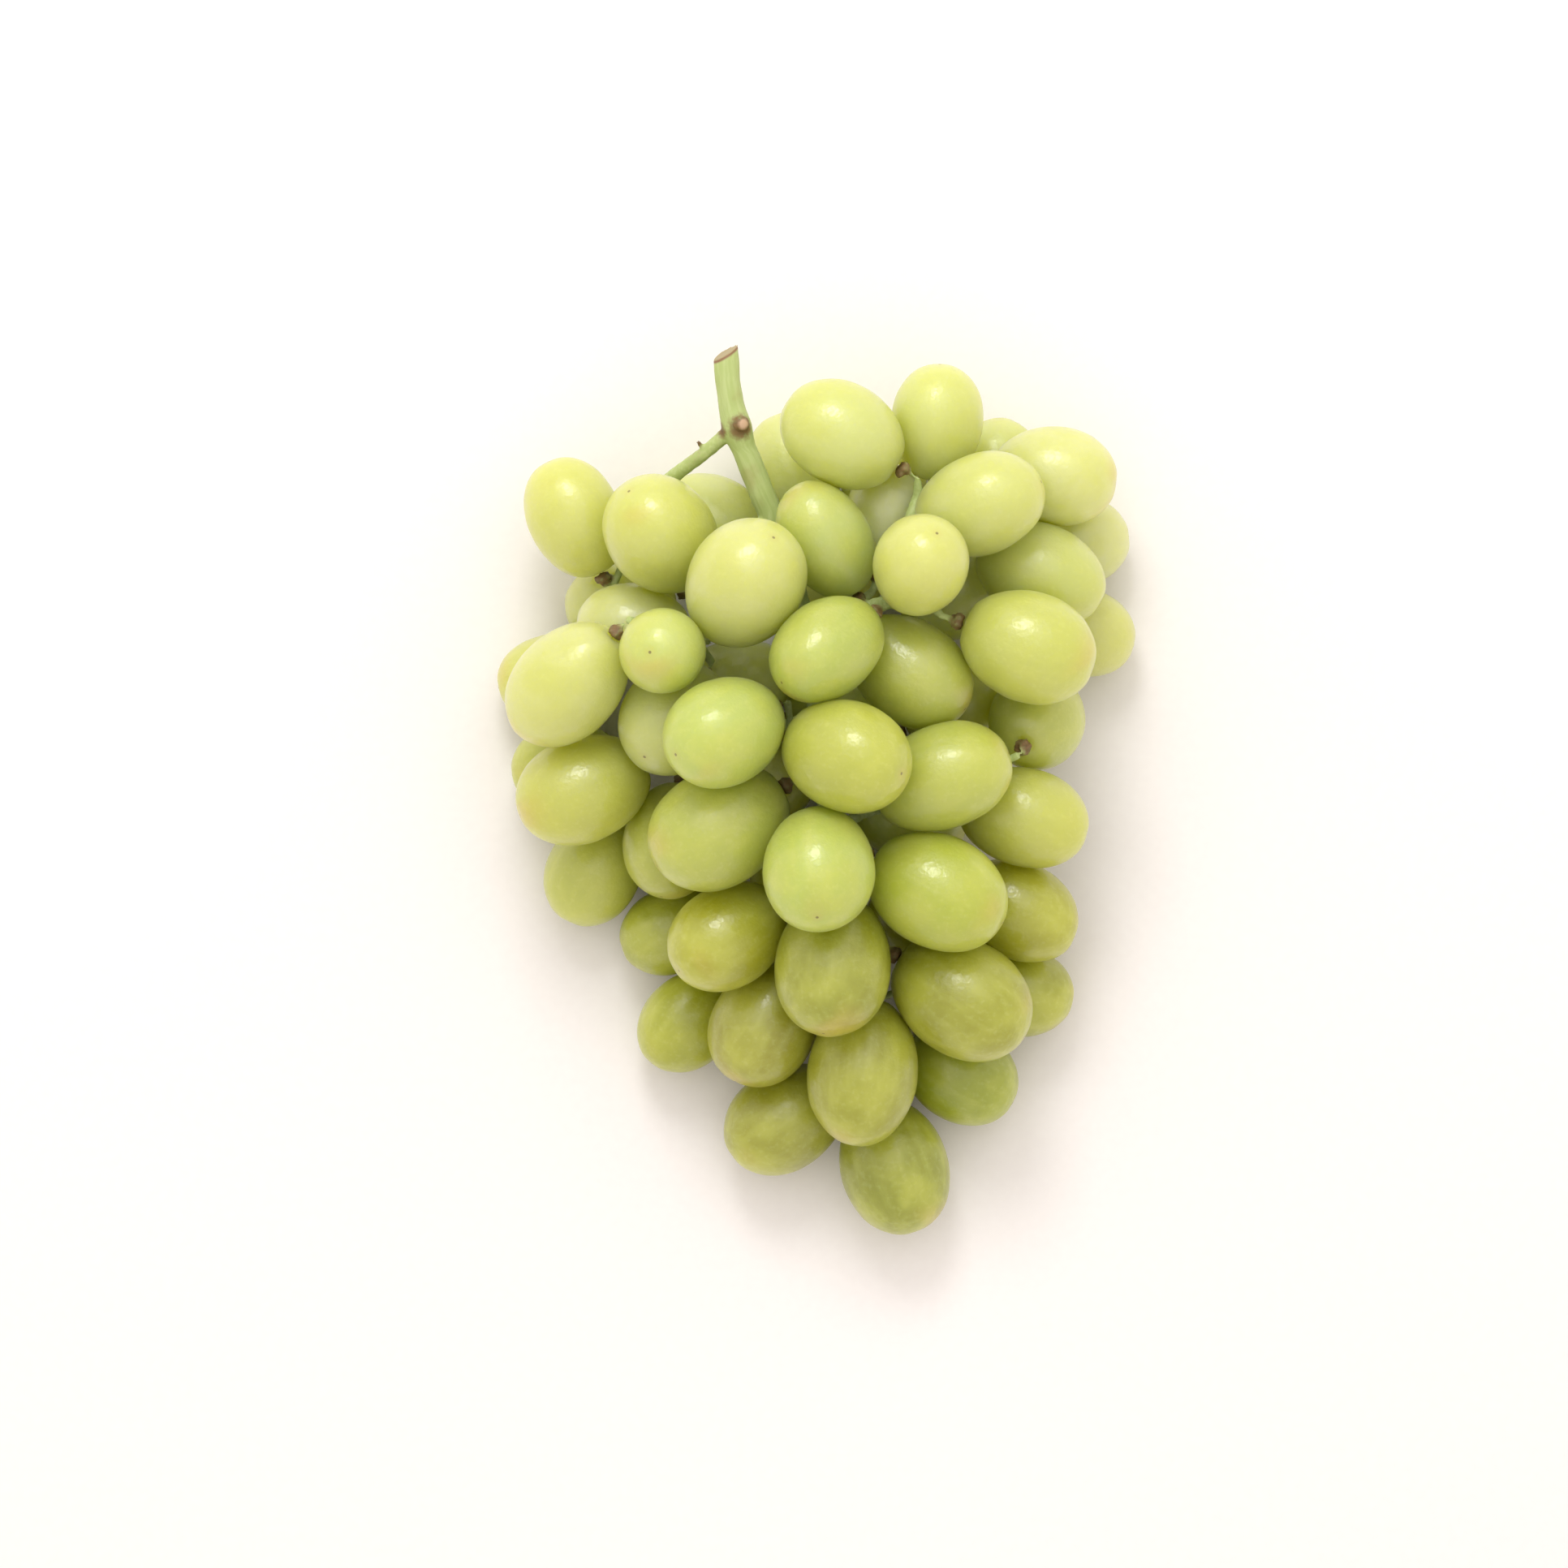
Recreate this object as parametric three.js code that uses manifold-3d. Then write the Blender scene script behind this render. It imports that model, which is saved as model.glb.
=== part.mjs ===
// A bunch of large seedless green table grapes, picked with its stalk and lying on a table.
// Frame: millimetres, +Z up from the table, +Y towards the cut end of the stalk, +X across the bunch.
// The stem is one piece, from the cut stalk to the collar at every berry. Each berry is its own piece.
import * as THREE from "three";
import { mergeVertices } from "three/addons/utils/BufferGeometryUtils.js";
import Module from "manifold-3d";

const wasm = await Module();
wasm.setup();

// ---- driving dimensions ----------------------------------------------------------------------

const BUNCH_WIDTH = 118; // over the two shoulders
const BUNCH_LENGTH = 160; // from the shoulder berries to the tip berry
const BERRY_LENGTH = 26; // a full-grown berry, from its collar to its tip
const BERRY_WIDTH = 20;
const EGG = 0.05; // how much wider a berry is towards its free end
const DIMPLE = 0.9; // how deep the stalk end of a berry is sunk
const BERRY_GAP = 0.3; // clearance between two berries
const TABLE_PRESS = 0.6; // how far the weight of the bunch flattens a berry on the table

const PEDUNCLE_RADIUS = 2.5; // the cut stalk, which carries every berry
const WING_RADIUS = 1.4; // the side shoot that leaves the cut stalk
const PEDICEL_RADIUS = 0.8; // the thin stalk of one berry
const COLLAR_RADIUS = 1.9; // the swollen collar where a pedicel meets its berry
const COLLAR_LENGTH = 2.6;
const NECK_LENGTH = 4.2; // straight run of the pedicel, from the berry's end
const STEM_GAP = 0.35; // clearance between the stem and a berry
const KNOT_SWELL = 1.2; // how much thicker the stalk is where branches leave it
const STUB_TAPER = 0.7; // how much narrower the end of a broken shoot is than its foot

// The bunch is drawn at this size, and stretched to the two sizes above.
const DRAWN_WIDTH = 118;
const DRAWN_LENGTH = 160;

// ---- the berries, cluster by cluster ---------------------------------------------------------
// Each row: x, y and z of the middle, length and width as shares of a full-grown berry, heading of the
// free end in degrees from +X towards +Y, and its lift above the horizontal. z = 0 lies on the table.

const CLUSTERS = {
  left_shoulder: [
    [-42.5, 52, 19, 0.93, 0.89, 115, 8],
    [-28.5, 48.5, 32, 0.98, 1.03, 127, 39],
    [-19, 53, 0, 0.88, 0.86, 165, 0],
    [-37, 37, 0, 0.85, 0.82, 190, 0],
    [-36, 32, 24, 0.85, 0.84, 175, 0],
  ],
  right_shoulder: [
    [-2.5, 59.5, 0, 0.88, 0.86, 110, 0],
    [6, 67, 32, 0.96, 0.96, 150, 5],
    [22.5, 70, 24, 0.87, 0.86, 88, 12],
    [36, 62.5, 0, 0.8, 0.8, 60, 0],
    [45.5, 60.5, 24, 0.93, 0.93, -8, 5],
    [32, 54, 36, 0.98, 0.95, 20, 15],
    [50.5, 47.5, 0, 0.82, 0.86, 5, 0],
    [16, 54, 20, 0.8, 0.78, 80, 0],
    [14.5, 59.5, 0, 0.82, 0.82, 80, 0],
  ],
  upper_right: [
    [4, 48, 33, 0.93, 0.83, 118, 10],
    [20, 43, 44, 0.82, 0.88, 62, 52],
    [44, 43, 27, 1.0, 0.94, -25, 5],
    [1, 38, 0, 0.84, 0.82, 60, 0],
    [30, 37, 0, 0.85, 0.86, 30, 0],
    [50, 33, 0, 0.82, 0.84, -15, 0],
    [40, 28, 32, 1.02, 1.04, -20, 5],
  ],
  upper_left: [
    [-12, 38, 42, 1.04, 1.1, 57, 42],
    [-28, 28, 42, 0.7, 0.79, 190, 75],
    [-45, 21.5, 29, 1.06, 1.0, 226, -20],
    [-50, 22, 0, 0.85, 0.85, 190, 0],
    [-14, 20, 11, 0.9, 0.88, 200, 0],
    [-26, 13, 28, 0.95, 0.98, 235, 40],
  ],
  middle_right: [
    [3, 27, 42, 0.94, 0.9, 217, 28],
    [20, 24, 36, 1.0, 0.96, -35, 12],
    [31, 17, 0, 0.85, 0.84, 25, 0],
    [42, 14, 14, 0.85, 0.9, 60, -60],
    [24, 3, 38, 1.05, 0.98, 20, 10],
    [41, -5, 24, 0.97, 0.93, -15, 5],
    [8, 20, 0, 0.9, 0.9, 20, 0],
    [18, -4, 0, 0.9, 0.9, -20, 0],
  ],
  middle_left: [
    [-16, 11, 44, 0.98, 1.0, 206, 38],
    [5, 8, 46, 1.02, 1.04, -18, 35],
    [-43.5, 1.5, 21, 1.02, 1.0, 202, 10],
    [-46, 3, 0, 0.82, 0.84, 190, 0],
    [-28, -9, 20, 0.88, 0.9, 260, 15],
    [-41, -15, 0, 0.88, 0.9, 245, 0],
    [-17, -7, 38, 1.1, 1.1, 212, 10],
    [-10, 0, 0, 0.9, 0.9, 190, 0],
  ],
  lower_right: [
    [1, -14, 44, 1.0, 1.03, 268, 45],
    [24, -18, 36, 1.07, 1.07, -26, 8],
    [40, -23, 18, 0.93, 0.92, -25, 5],
    [28, -40, 26, 1.1, 1.1, -32, 8],
    [40, -38, 0, 0.85, 0.86, -10, 0],
    [20, -26, 0, 0.88, 0.86, -30, 0],
  ],
  lower_left: [
    [-16, -28, 30, 0.95, 0.97, 215, 22],
    [-21, -27, 0, 0.82, 0.82, 200, 0],
    [-22, -44, 0, 0.82, 0.85, 230, 0],
    [-9, -45, 18, 0.97, 1.0, 243, 8],
    [-6, -18, 0, 0.9, 0.9, 250, 0],
  ],
  tip: [
    [4, -33, 36, 1.06, 1.1, 262, 18],
    [10, -53, 25, 1.1, 1.05, 263, 5],
    [-5, -64, 0, 0.96, 0.97, 215, 0],
    [16, -73, 0, 1.02, 1.03, -72, 0],
    [29, -55, 0, 0.9, 0.92, -30, 0],
  ],
};

// The stalk and the main axis, from the cut end to the tip, and the wing that leaves it at the knot.
const MAIN_AXIS = [
  [-16.8, 88, 30],
  [-16, 78, 30],
  [-14.6, 70.5, 29],
  [-10.4, 59.5, 27],
  [-6.5, 50, 25],
  [-3, 38, 24],
  [0, 24, 23],
  [3, 8, 23],
  [5, -10, 22],
  [6, -28, 18],
  [8, -42, 14],
];
const WING = [
  [-14.6, 70.5, 29],
  [-21, 65, 26],
  [-28, 60, 21],
  [-34, 54, 18],
];
// The slanted cut at the top of the stalk: a point on it, and the way it faces.
const CUT = { at: [-16.6, 84.5, 30], faces: [-0.5, 0.83, 0.25] };
// Side shoots that broke off: where each starts inside the stem, the way it points, its length and radius.
const STUBS = [
  { at: [-20.6, 65.4, 26.5], towards: [-0.5, 0.8, 0.4], length: 2.7, radius: 0.6 },
  { at: [-14.6, 70.6, 29], towards: [0.35, 0.05, 0.93], length: 3.7, radius: 1.5 },
  { at: [-7.4, 52, 25.4], towards: [-0.9, -0.1, 0.4], length: 4.4, radius: 1.3 },
  { at: [-5.6, 48, 24.6], towards: [0.9, 0.3, 0.4], length: 4.6, radius: 0.9 },
];

// ---- fineness of the model and of the settling -----------------------------------------------

const BERRY_SIDES = 10;
const BERRY_RINGS = [16, 42, 66, 90, 114, 138, 161]; // degrees from the stalk end
const LIMB_SIDES = 6;
const WING_SIDES = 8;
const AXIS_SIDES = 12;
const LIMB_STEP = 4.5; // length of one step of a branch
const FLESH_BALLS = 3; // balls on each side of a berry's middle, for measuring gaps
const SETTLE_ROUNDS = 400;
const STRAIGHTEN_ROUNDS = 60;
const SETTLE_SLACK = 0.1; // extra gap that the settling aims for
const SIDEWAYS = 0.25; // how easily a berry is pushed sideways, where 1 is as easily as upwards
const HOLD = 0.04; // how strongly a berry is drawn back to its place in the table above
const CELL = 1.5; // grid for finding a way between the berries
const CROWDING = 12; // extra cost of a way that is too narrow, for each millimetre it lacks

// ---- helpers ---------------------------------------------------------------------------------

const UP = new THREE.Vector3(0, 0, 1);
const ACROSS = BUNCH_WIDTH / DRAWN_WIDTH;
const ALONG = BUNCH_LENGTH / DRAWN_LENGTH;
const placed = ([x, y, z]) => new THREE.Vector3(x * ACROSS, y * ALONG, z);

// A closed three.js geometry as a manifold-3d solid.
function solidOf(geometry) {
  const bare = geometry.clone();
  bare.deleteAttribute("normal");
  bare.deleteAttribute("uv");
  const merged = mergeVertices(bare, 1e-4);
  return new wasm.Manifold(
    new wasm.Mesh({
      numProp: 3,
      vertProperties: merged.attributes.position.array,
      triVerts: new Uint32Array(merged.index.array),
    }),
  );
}

// A manifold-3d solid as a three.js geometry.
function geometryOf(solid) {
  const { vertProperties, triVerts } = solid.getMesh();
  const geometry = new THREE.BufferGeometry();
  geometry.setAttribute("position", new THREE.BufferAttribute(vertProperties, 3));
  geometry.setIndex(new THREE.BufferAttribute(triVerts, 1));
  geometry.computeVertexNormals();
  return geometry;
}

// A solid without the sealed pockets that crossing branches leave inside it.
function withoutPockets(solid) {
  const skins = solid.decompose().filter((skin) => skin.volume() > 0);
  return skins.reduce((whole, skin) => whole.add(skin));
}

// ---- berries as bodies -----------------------------------------------------------------------

function makeBerry(name, [x, y, z, long, wide, heading, lift]) {
  const turn = THREE.MathUtils.degToRad(heading);
  const rise = THREE.MathUtils.degToRad(lift);
  const berry = {
    name,
    half: (BERRY_LENGTH * long) / 2,
    radius: (BERRY_WIDTH * wide) / 2,
    axis: new THREE.Vector3(
      Math.cos(turn) * Math.cos(rise),
      Math.sin(turn) * Math.cos(rise),
      Math.sin(rise),
    ),
    lies: z === 0,
  };
  const { half, radius, axis } = berry;
  berry.depth = Math.hypot(half * axis.z, radius * Math.hypot(axis.x, axis.y));
  berry.middle = placed([x, y, berry.lies ? berry.depth - TABLE_PRESS : z]);
  berry.home = berry.middle.clone();
  berry.reach = half + NECK_LENGTH;
  berry.ease = new THREE.Vector3(
    berry.lies ? 1 : SIDEWAYS,
    berry.lies ? 1 : SIDEWAYS,
    berry.lies ? 0 : 1,
  );
  berry.flesh = fleshBalls(berry);
  berry.neck = [
    { along: -half - 0.8, radius: COLLAR_RADIUS },
    { along: -half - COLLAR_LENGTH, radius: PEDICEL_RADIUS + STEM_GAP },
    { along: -half - NECK_LENGTH, radius: PEDICEL_RADIUS + STEM_GAP },
  ];
  return berry;
}

// The largest balls that fit in an egg, along its axis: gaps between berries are measured between them.
function fleshBalls({ half, radius }) {
  const focal = Math.max(half * half - radius * radius, 1e-6);
  const balls = [];
  for (let k = -FLESH_BALLS; k <= FLESH_BALLS; k++) {
    const along = ((k / FLESH_BALLS) * focal) / half;
    const width = Math.sqrt(1 - (along * along) / focal) * (1 + (EGG * along) / half);
    balls.push({ along, radius: radius * width });
  }
  return balls;
}

const ballPlace = (berry, ball) => berry.middle.clone().addScaledVector(berry.axis, ball.along);
const poleOf = (berry) => berry.middle.clone().addScaledVector(berry.axis, -berry.half);
const neckEnd = (berry) => ballPlace(berry, berry.neck[berry.neck.length - 1]);

// The deepest overlap of two lists of placed balls, and the direction from the second to the first.
function deepest(ballsA, ballsB, gap) {
  let worst = { depth: -Infinity, normal: UP };
  for (const a of ballsA)
    for (const b of ballsB) {
      const between = a.place.distanceTo(b.place);
      const depth = a.radius + b.radius + gap - between;
      if (depth > worst.depth) worst = { depth, a, b, between };
    }
  if (worst.a) worst.normal = worst.a.place.clone().sub(worst.b.place).divideScalar(worst.between || 1);
  return worst;
}

const placedBalls = (berry, balls) =>
  balls.map((ball) => ({ place: ballPlace(berry, ball), radius: ball.radius }));

// Moves one body, or two, apart along a normal, each by its own ease in each direction.
function pushApart(a, b, normal, depth) {
  const moveA = normal.clone().multiply(a.ease);
  const moveB = b ? normal.clone().multiply(b.ease) : new THREE.Vector3();
  const gain = moveA.dot(normal) + moveB.dot(normal);
  if (gain < 1e-3) return;
  a.middle.addScaledVector(moveA, depth / gain);
  if (b) b.middle.addScaledVector(moveB, -depth / gain);
}

// Pushes overlapping berries apart, and off the stem, while each is drawn towards its own place.
function settle(berries, posts) {
  for (let round = 0; round < SETTLE_ROUNDS; round++) {
    const pull = HOLD * (1 - round / SETTLE_ROUNDS);
    for (const berry of berries) berry.middle.lerp(berry.home, pull);
    const balls = berries.map((berry) => ({
      flesh: placedBalls(berry, berry.flesh),
      all: placedBalls(berry, [...berry.flesh, ...berry.neck]),
    }));
    for (let i = 0; i < berries.length; i++) {
      for (let j = i + 1; j < berries.length; j++) {
        const [a, b] = [berries[i], berries[j]];
        if (a.middle.distanceTo(b.middle) > a.reach + b.reach + 1) continue;
        const gap = BERRY_GAP + SETTLE_SLACK;
        const { depth, normal } = deepest(balls[i].all, balls[j].all, gap);
        if (depth > 0) pushApart(a, b, normal, depth * 0.7);
      }
      const near = posts.filter(
        (post) => post.place.distanceTo(berries[i].middle) < berries[i].reach + post.radius + 1,
      );
      const { depth, normal } = deepest(balls[i].flesh, near, STEM_GAP);
      if (near.length && depth > 0) pushApart(berries[i], null, normal, depth * 0.7);
      const press = berries[i].lies ? TABLE_PRESS : 0;
      berries[i].middle.z = Math.max(berries[i].middle.z, berries[i].depth - press);
    }
  }
}

// ---- the stem as a graph ---------------------------------------------------------------------

const stem = []; // vertices of the stem: each knows the next one towards the cut end

function addVertex(place, next, facts = {}) {
  const vertex = { place, next, load: 0, forks: false, fixed: false, ...facts };
  stem.push(vertex);
  return vertex;
}

// A line of fixed vertices along a curve, from its base outwards.
function addLine(points, base) {
  const curve = new THREE.CatmullRomCurve3(points, false, "centripetal");
  const steps = Math.round(curve.getLength() / LIMB_STEP);
  const line = base ? [base] : [];
  for (let i = base ? 1 : 0; i <= steps; i++) {
    const last = line[line.length - 1] ?? null;
    line.push(addVertex(curve.getPointAt(i / steps), last, { fixed: true }));
  }
  return line;
}

// The room to the nearest berry at every cell of a grid over the bunch.
function roomGrid(berries) {
  const box = new THREE.Box3();
  for (const { middle, reach } of berries) box.union(new THREE.Box3().setFromCenterAndSize(
    middle, new THREE.Vector3(2 * reach, 2 * reach, 2 * reach)));
  for (const { place } of stem) box.expandByPoint(place);
  box.min.z = 2 * PEDICEL_RADIUS;
  const count = box.getSize(new THREE.Vector3()).divideScalar(CELL).ceil().addScalar(1);
  const grid = { origin: box.min, nx: count.x, ny: count.y, nz: count.z };
  grid.room = new Float32Array(count.x * count.y * count.z).fill(BERRY_WIDTH);
  for (const berry of berries) {
    const balls = placedBalls(berry, berry.flesh);
    const low = cellOf(grid, berry.middle.clone().subScalar(berry.reach + 1));
    const high = cellOf(grid, berry.middle.clone().addScalar(berry.reach + 1));
    const at = new THREE.Vector3();
    for (let k = low[2]; k <= high[2]; k++)
      for (let j = low[1]; j <= high[1]; j++)
        for (let i = low[0]; i <= high[0]; i++) {
          at.set(i, j, k).multiplyScalar(CELL).add(grid.origin);
          const index = indexOf(grid, i, j, k);
          for (const ball of balls) {
            const room = at.distanceTo(ball.place) - ball.radius;
            if (room < grid.room[index]) grid.room[index] = room;
          }
        }
  }
  return grid;
}

const indexOf = (grid, i, j, k) => (k * grid.ny + j) * grid.nx + i;

function cellOf(grid, place) {
  const clamp = (value, count) => Math.min(Math.max(Math.round(value), 0), count - 1);
  return [
    clamp((place.x - grid.origin.x) / CELL, grid.nx),
    clamp((place.y - grid.origin.y) / CELL, grid.ny),
    clamp((place.z - grid.origin.z) / CELL, grid.nz),
  ];
}

function centreOf(grid, index) {
  const i = index % grid.nx;
  const j = Math.floor(index / grid.nx) % grid.ny;
  const k = Math.floor(index / (grid.nx * grid.ny));
  return new THREE.Vector3(i, j, k).multiplyScalar(CELL).add(grid.origin);
}

// A binary heap of [cost, cell] pairs.
function heapPush(heap, item) {
  let at = heap.push(item) - 1;
  while (at > 0) {
    const up = (at - 1) >> 1;
    if (heap[up][0] <= heap[at][0]) break;
    [heap[up], heap[at]] = [heap[at], heap[up]];
    at = up;
  }
}

function heapPop(heap) {
  const top = heap[0];
  const last = heap.pop();
  if (!heap.length) return top;
  heap[0] = last;
  for (let at = 0; ; ) {
    let least = at;
    for (const down of [2 * at + 1, 2 * at + 2])
      if (down < heap.length && heap[down][0] < heap[least][0]) least = down;
    if (least === at) return top;
    [heap[least], heap[at]] = [heap[at], heap[least]];
    at = least;
  }
}

// The cheapest way from a place to any cell of the stem, as a list of cells. Open space is cheap and
// squeezing past a berry is dear (Dijkstra's method).
function wayToStem(grid, from, stemCells) {
  const start = indexOf(grid, ...cellOf(grid, from));
  const cost = new Map([[start, 0]]);
  const cameFrom = new Map();
  const heap = [[0, start]];
  const need = PEDICEL_RADIUS + STEM_GAP;
  while (heap.length) {
    const [spent, cell] = heapPop(heap);
    if (spent > cost.get(cell)) continue;
    if (stemCells.has(cell)) {
      const way = [cell];
      while (cameFrom.has(way[0])) way.unshift(cameFrom.get(way[0]));
      return way;
    }
    const i = cell % grid.nx;
    const j = Math.floor(cell / grid.nx) % grid.ny;
    const k = Math.floor(cell / (grid.nx * grid.ny));
    for (let dk = -1; dk <= 1; dk++)
      for (let dj = -1; dj <= 1; dj++)
        for (let di = -1; di <= 1; di++) {
          const [a, b, c] = [i + di, j + dj, k + dk];
          if (a < 0 || b < 0 || c < 0 || a >= grid.nx || b >= grid.ny || c >= grid.nz) continue;
          const next = indexOf(grid, a, b, c);
          const lack = Math.max(0, need - grid.room[next]);
          const total = spent + Math.hypot(di, dj, dk) * (1 + CROWDING * lack);
          if (total < (cost.get(next) ?? Infinity)) {
            cost.set(next, total);
            cameFrom.set(next, cell);
            heapPush(heap, [total, next]);
          }
        }
  }
  throw new Error("no way from a berry to the stem");
}

// Grows a branch from every berry to the stem, the nearest berries first, so that far ones join them.
function growBranches(berries, axisLine) {
  const grid = roomGrid(berries);
  const cells = new Map();
  for (const vertex of stem) cells.set(indexOf(grid, ...cellOf(grid, vertex.place)), vertex);
  const far = (berry) => Math.min(...axisLine.map(({ place }) => place.distanceTo(poleOf(berry))));
  const limbs = [];
  for (const berry of [...berries].sort((a, b) => far(a) - far(b))) {
    const way = wayToStem(grid, neckEnd(berry), cells);
    let next = cells.get(way[way.length - 1]);
    next.forks = true;
    const limb = { berry, line: [next] };
    const keep = Math.round(LIMB_STEP / CELL);
    for (let at = way.length - 1 - keep; at >= keep; at -= keep) {
      next = addVertex(centreOf(grid, way[at]), next);
      cells.set(way[at], next);
      limb.line.push(next);
    }
    limb.line.push(addVertex(neckEnd(berry), next, { fixed: true, berry }));
    limbs.push(limb);
  }
  return limbs;
}

// Draws the free vertices of the stem straight between their neighbours, and pushes them off the berries.
function smoothStem(berries, rounds) {
  const neighbours = new Map(stem.map((vertex) => [vertex, vertex.next ? [vertex.next] : []]));
  for (const vertex of stem) if (vertex.next) neighbours.get(vertex.next).push(vertex);
  for (let round = 0; round < rounds; round++)
    for (const vertex of stem) {
      if (vertex.fixed) continue;
      const around = neighbours.get(vertex);
      const mean = around.reduce((sum, { place }) => sum.add(place), new THREE.Vector3());
      vertex.place.lerp(mean.divideScalar(around.length), 0.4);
      for (const { place } of [vertex, ...around]) {
        const halfway = vertex.place.clone().lerp(place, 0.5);
        vertex.place.add(wayOffBerries(halfway, radiusAt(vertex), berries));
      }
      vertex.place.z = Math.max(vertex.place.z, radiusAt(vertex) + STEM_GAP);
    }
}

// The move that takes a ball off the berries that it cuts into.
function wayOffBerries(place, radius, berries) {
  const move = new THREE.Vector3();
  for (const berry of berries) {
    if (place.distanceTo(berry.middle) > berry.half + radius + 1) continue;
    const ball = [{ place: place.clone().add(move), radius }];
    const { depth, normal } = deepest(ball, placedBalls(berry, berry.flesh), STEM_GAP);
    if (depth > 0) move.addScaledVector(normal, depth);
  }
  return move;
}

function countLoads(limbs) {
  for (const vertex of stem) vertex.load = 0;
  for (const { line } of limbs)
    for (let vertex = line[line.length - 1]; vertex; vertex = vertex.next) vertex.load += 1;
}

// A branch is thicker the more berries it carries, from one pedicel up to the whole stalk.
function radiusAt({ load }) {
  const growth = Math.log(PEDUNCLE_RADIUS / PEDICEL_RADIUS) / Math.log(berries.length);
  return PEDICEL_RADIUS * Math.max(load, 1) ** growth;
}

// ---- shapes ----------------------------------------------------------------------------------

// A tapering branch: a cylinder bent along the curve through its points.
function branchSolid(points, radii, sides) {
  const curve = new THREE.CatmullRomCurve3(points, false, "centripetal");
  const steps = points.length - 1;
  const tube = new THREE.CylinderGeometry(1, 1, 1, sides, steps);
  const frames = curve.computeFrenetFrames(steps, false);
  const at = tube.attributes.position;
  for (let i = 0; i < at.count; i++) {
    const step = Math.round((0.5 - at.getY(i)) * steps);
    const place = points[step].clone();
    place.addScaledVector(frames.normals[step], at.getX(i) * radii[step]);
    place.addScaledVector(frames.binormals[step], at.getZ(i) * radii[step]);
    at.setXYZ(i, place.x, place.y, place.z);
  }
  return solidOf(tube);
}

// Turns and moves a shape made along +Y from the origin so that it lies along a berry's axis, with one
// of its edges facing down.
function layAlong(geometry, { axis, middle }) {
  const down = UP.clone().negate().addScaledVector(axis, axis.z);
  if (down.length() < 1e-3) down.set(1, 0, 0);
  down.normalize();
  const side = new THREE.Vector3().crossVectors(axis, down);
  geometry.applyMatrix4(new THREE.Matrix4().makeBasis(side, axis, down).setPosition(middle));
  return geometry;
}

// An egg turned on its axis, with a sunk stalk end; it can be made larger by some clearance all round.
function berrySolid(berry, clearance = 0) {
  const half = berry.half + clearance;
  const radius = berry.radius + clearance;
  const profile = [new THREE.Vector2(0, -half + DIMPLE)];
  for (const ring of BERRY_RINGS) {
    const angle = THREE.MathUtils.degToRad(ring);
    const width = radius * Math.sin(angle) * (1 - EGG * Math.cos(angle));
    profile.push(new THREE.Vector2(width, -half * Math.cos(angle)));
  }
  profile.push(new THREE.Vector2(0, half));
  return solidOf(layAlong(new THREE.LatheGeometry(profile, BERRY_SIDES), berry));
}

// The end of a pedicel, from its neck to the flared collar in the dimple of its berry: how far along the
// berry's axis each ring lies, and its radius.
function collarRings({ half }) {
  const face = -half + DIMPLE * 0.5 - STEM_GAP;
  return [
    [face - COLLAR_LENGTH, PEDICEL_RADIUS],
    [face - 0.4 * COLLAR_LENGTH, COLLAR_RADIUS],
    [face, COLLAR_RADIUS * 0.8],
  ];
}

// A berry that lies on the table, with its underside pressed flat.
function pressedFlat(solid) {
  const block = new THREE.BoxGeometry(2 * BUNCH_LENGTH, 2 * BUNCH_LENGTH, BERRY_WIDTH);
  block.translate(0, 0, -BERRY_WIDTH / 2);
  return solid.subtract(solidOf(block));
}

function stubSolid({ at, towards, length, radius }) {
  const stub = new THREE.CylinderGeometry(STUB_TAPER * radius, radius, length, WING_SIDES);
  stub.translate(0, length / 2, 0);
  const turn = new THREE.Quaternion().setFromUnitVectors(
    new THREE.Vector3(0, 1, 0),
    new THREE.Vector3(...towards).normalize(),
  );
  const { x, y, z } = placed(at);
  return solidOf(stub.applyQuaternion(turn).translate(x, y, z));
}

// The main axis without what lies beyond the slanted cut.
function slantCut(solid) {
  const faces = new THREE.Vector3(...CUT.faces).normalize();
  return solid.trimByPlane(faces.clone().negate().toArray(), -faces.dot(placed(CUT.at)));
}

// The stalk and main axis, the wing, the branches with their collars, and the stubs, all as one piece.
function stemSolid(axisLine, wingLine, limbs) {
  const places = (line) => line.map(({ place }) => place);
  const axisRadii = axisLine.map((vertex) => radiusAt(vertex) * (vertex.forks ? KNOT_SWELL : 1));
  const wingRadii = wingLine.map((vertex) => Math.max(radiusAt(vertex), WING_RADIUS));
  wingRadii[0] = WING_RADIUS * KNOT_SWELL;
  let solid = slantCut(branchSolid(places(axisLine), axisRadii, AXIS_SIDES));
  solid = solid.add(branchSolid(places(wingLine), wingRadii, WING_SIDES));
  for (const stub of STUBS) solid = solid.add(stubSolid(stub));
  for (const { line, berry } of limbs) {
    const collar = collarRings(berry);
    const ends = collar.map(([along]) => ballPlace(berry, { along }));
    const radii = line.map((_, index) => radiusAt(line[Math.max(index, 1)]));
    const flare = collar.map(([, radius]) => radius);
    solid = solid.add(branchSolid([...places(line), ...ends], [...radii, ...flare], LIMB_SIDES));
  }
  return solid;
}

// The stem with clearance to every berry that it would still touch.
function clearOf(berries, solid) {
  for (const berry of berries) solid = solid.subtract(berrySolid(berry, STEM_GAP / 2));
  return solid;
}

// ---- building the bunch ----------------------------------------------------------------------

const berries = Object.entries(CLUSTERS).flatMap(([cluster, rows]) =>
  rows.map((row, index) => makeBerry(`${cluster}_${index + 1}`, row)),
);

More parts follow.
